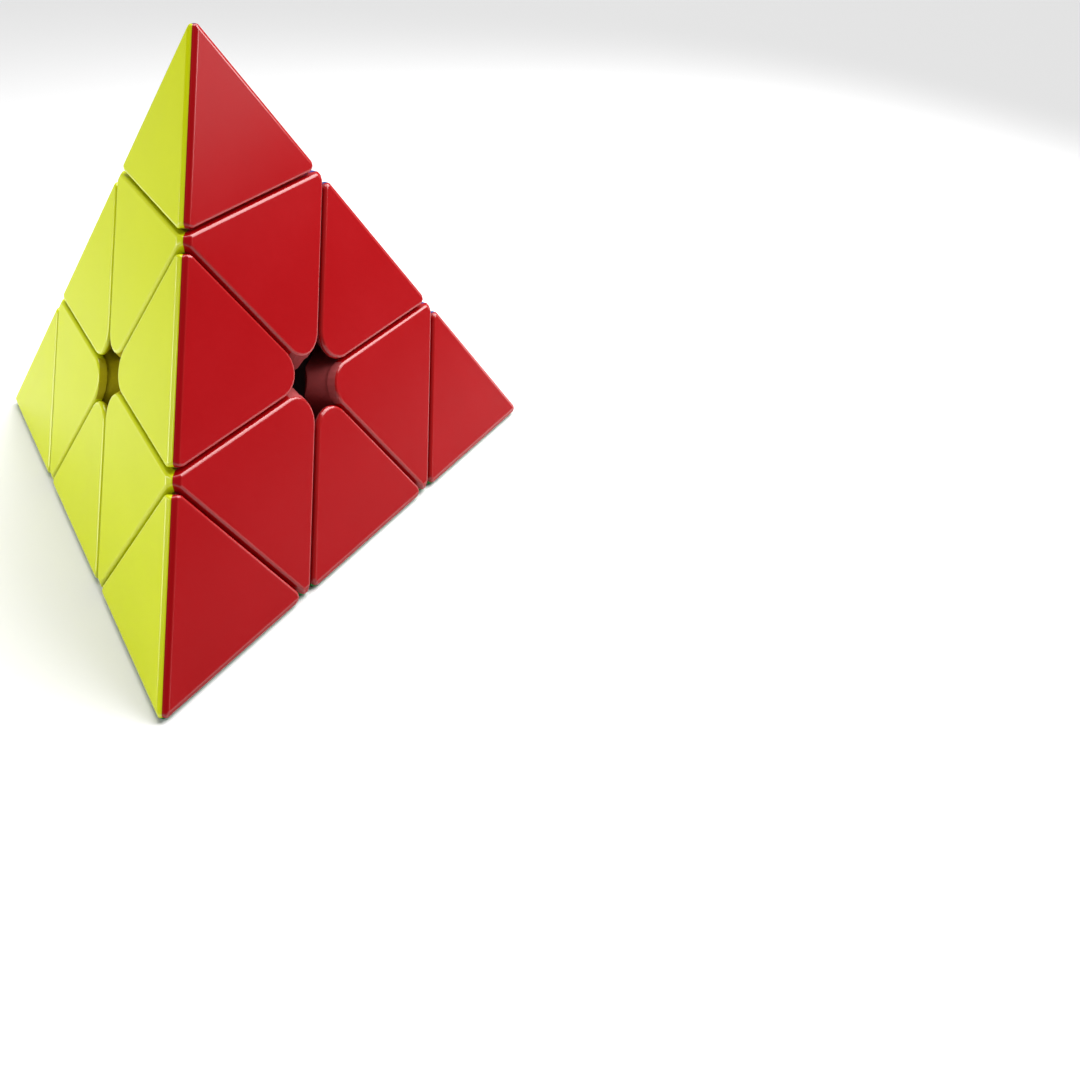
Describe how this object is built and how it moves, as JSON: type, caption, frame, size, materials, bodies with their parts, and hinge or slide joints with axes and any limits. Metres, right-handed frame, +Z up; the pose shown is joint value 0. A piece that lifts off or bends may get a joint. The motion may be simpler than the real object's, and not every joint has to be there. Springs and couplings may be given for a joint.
{
  "type": "pyramid twisty puzzle",
  "caption": "Four-sided pyramid twisty puzzle: coloured corner tips, centre pieces and edge pieces turn round a screwed core.",
  "frame": {"origin": "centre of the core, where the four turning axes meet; the bottom face is 20 mm below it", "axes": "+Z up through the top tip; -Y towards the front vertex of the bottom face; +X to the right"},
  "size_m": [0.0948, 0.0823, 0.0777],
  "materials": {
    "red_plastic": "coloured through, satin with a fine grain",
    "yellow_plastic": "coloured through, satin with a fine grain",
    "blue_plastic": "coloured through, satin with a fine grain",
    "green_plastic": "coloured through, satin with a fine grain",
    "inner_plastic": "near black, unpolished",
    "core_nylon": "natural nylon",
    "steel": "zinc plated"
  },
  "bodies": {
    "core": {"core": "core_nylon", "top_screw": "steel", "top_spring": "steel", "front_screw": "steel", "front_spring": "steel", "left_screw": "steel", "left_spring": "steel", "right_screw": "steel", "right_spring": "steel"},
    "top_center": {"top_center_base": "inner_plastic", "top_center_red_shell": "red_plastic", "top_center_yellow_shell": "yellow_plastic", "top_center_blue_shell": "blue_plastic"},
    "top_tip": {"top_tip_stem": "inner_plastic", "top_tip_red_shell": "red_plastic", "top_tip_yellow_shell": "yellow_plastic", "top_tip_blue_shell": "blue_plastic"},
    "front_center": {"front_center_base": "inner_plastic", "front_center_red_shell": "red_plastic", "front_center_yellow_shell": "yellow_plastic", "front_center_green_shell": "green_plastic"},
    "front_tip": {"front_tip_stem": "inner_plastic", "front_tip_red_shell": "red_plastic", "front_tip_yellow_shell": "yellow_plastic", "front_tip_green_shell": "green_plastic"},
    "left_center": {"left_center_base": "inner_plastic", "left_center_yellow_shell": "yellow_plastic", "left_center_blue_shell": "blue_plastic", "left_center_green_shell": "green_plastic"},
    "left_tip": {"left_tip_stem": "inner_plastic", "left_tip_yellow_shell": "yellow_plastic", "left_tip_blue_shell": "blue_plastic", "left_tip_green_shell": "green_plastic"},
    "right_center": {"right_center_base": "inner_plastic", "right_center_red_shell": "red_plastic", "right_center_blue_shell": "blue_plastic", "right_center_green_shell": "green_plastic"},
    "right_tip": {"right_tip_stem": "inner_plastic", "right_tip_red_shell": "red_plastic", "right_tip_blue_shell": "blue_plastic", "right_tip_green_shell": "green_plastic"},
    "top_front_edge": {"top_front_edge_foot": "inner_plastic", "top_front_edge_red_shell": "red_plastic", "top_front_edge_yellow_shell": "yellow_plastic"},
    "top_left_edge": {"top_left_edge_foot": "inner_plastic", "top_left_edge_yellow_shell": "yellow_plastic", "top_left_edge_blue_shell": "blue_plastic"},
    "top_right_edge": {"top_right_edge_foot": "inner_plastic", "top_right_edge_red_shell": "red_plastic", "top_right_edge_blue_shell": "blue_plastic"},
    "front_left_edge": {"front_left_edge_foot": "inner_plastic", "front_left_edge_yellow_shell": "yellow_plastic", "front_left_edge_green_shell": "green_plastic"},
    "front_right_edge": {"front_right_edge_foot": "inner_plastic", "front_right_edge_red_shell": "red_plastic", "front_right_edge_green_shell": "green_plastic"},
    "left_right_edge": {"left_right_edge_foot": "inner_plastic", "left_right_edge_blue_shell": "blue_plastic", "left_right_edge_green_shell": "green_plastic"}
  },
  "joints": [
    {"name": "top_layer_turn", "type": "hinge", "parent": "core", "child": "top_center", "pos_m": [0, 0, 0], "axis": [0, 0, 1], "range_deg": [-240, 120]},
    {"name": "front_layer_turn", "type": "hinge", "parent": "core", "child": "front_center", "pos_m": [0, 0, 0], "axis": [0, -0.9428, -0.3333], "range_deg": [-240, 120]},
    {"name": "left_layer_turn", "type": "hinge", "parent": "core", "child": "left_center", "pos_m": [0, 0, 0], "axis": [-0.8165, 0.4714, -0.3333], "range_deg": [-240, 120]},
    {"name": "right_layer_turn", "type": "hinge", "parent": "core", "child": "right_center", "pos_m": [0, 0, 0], "axis": [0.8165, 0.4714, -0.3333], "range_deg": [-240, 120]},
    {"name": "top_tip_turn", "type": "hinge", "parent": "top_center", "child": "top_tip", "pos_m": [0, 0, 0], "axis": [0, 0, 1], "continuous": true},
    {"name": "front_tip_turn", "type": "hinge", "parent": "front_center", "child": "front_tip", "pos_m": [0, 0, 0], "axis": [0, -0.9428, -0.3333], "continuous": true},
    {"name": "left_tip_turn", "type": "hinge", "parent": "left_center", "child": "left_tip", "pos_m": [0, 0, 0], "axis": [-0.8165, 0.4714, -0.3333], "continuous": true},
    {"name": "right_tip_turn", "type": "hinge", "parent": "right_center", "child": "right_tip", "pos_m": [0, 0, 0], "axis": [0.8165, 0.4714, -0.3333], "continuous": true},
    {"name": "top_front_edge_turn", "type": "hinge", "parent": "top_center", "child": "top_front_edge", "pos_m": [0, 0, 0], "axis": [0, -0.9428, -0.3333], "range_deg": [-240, 120]},
    {"name": "top_left_edge_turn", "type": "hinge", "parent": "top_center", "child": "top_left_edge", "pos_m": [0, 0, 0], "axis": [-0.8165, 0.4714, -0.3333], "range_deg": [-240, 120]},
    {"name": "top_right_edge_turn", "type": "hinge", "parent": "top_center", "child": "top_right_edge", "pos_m": [0, 0, 0], "axis": [0.8165, 0.4714, -0.3333], "range_deg": [-240, 120]},
    {"name": "front_left_edge_turn", "type": "hinge", "parent": "left_center", "child": "front_left_edge", "pos_m": [0, 0, 0], "axis": [0, -0.9428, -0.3333], "range_deg": [-240, 120]},
    {"name": "left_right_edge_turn", "type": "hinge", "parent": "right_center", "child": "left_right_edge", "pos_m": [0, 0, 0], "axis": [-0.8165, 0.4714, -0.3333], "range_deg": [-240, 120]},
    {"name": "front_right_edge_turn", "type": "hinge", "parent": "front_center", "child": "front_right_edge", "pos_m": [0, 0, 0], "axis": [0.8165, 0.4714, -0.3333], "range_deg": [-240, 120]}
  ],
  "couplings": [
    {"joint": "top_front_edge_turn", "follows": "front_layer_turn", "ratio": 1},
    {"joint": "top_left_edge_turn", "follows": "left_layer_turn", "ratio": 1},
    {"joint": "top_right_edge_turn", "follows": "right_layer_turn", "ratio": 1},
    {"joint": "front_left_edge_turn", "follows": "front_layer_turn", "ratio": 1},
    {"joint": "left_right_edge_turn", "follows": "left_layer_turn", "ratio": 1},
    {"joint": "front_right_edge_turn", "follows": "right_layer_turn", "ratio": 1}
  ]
}
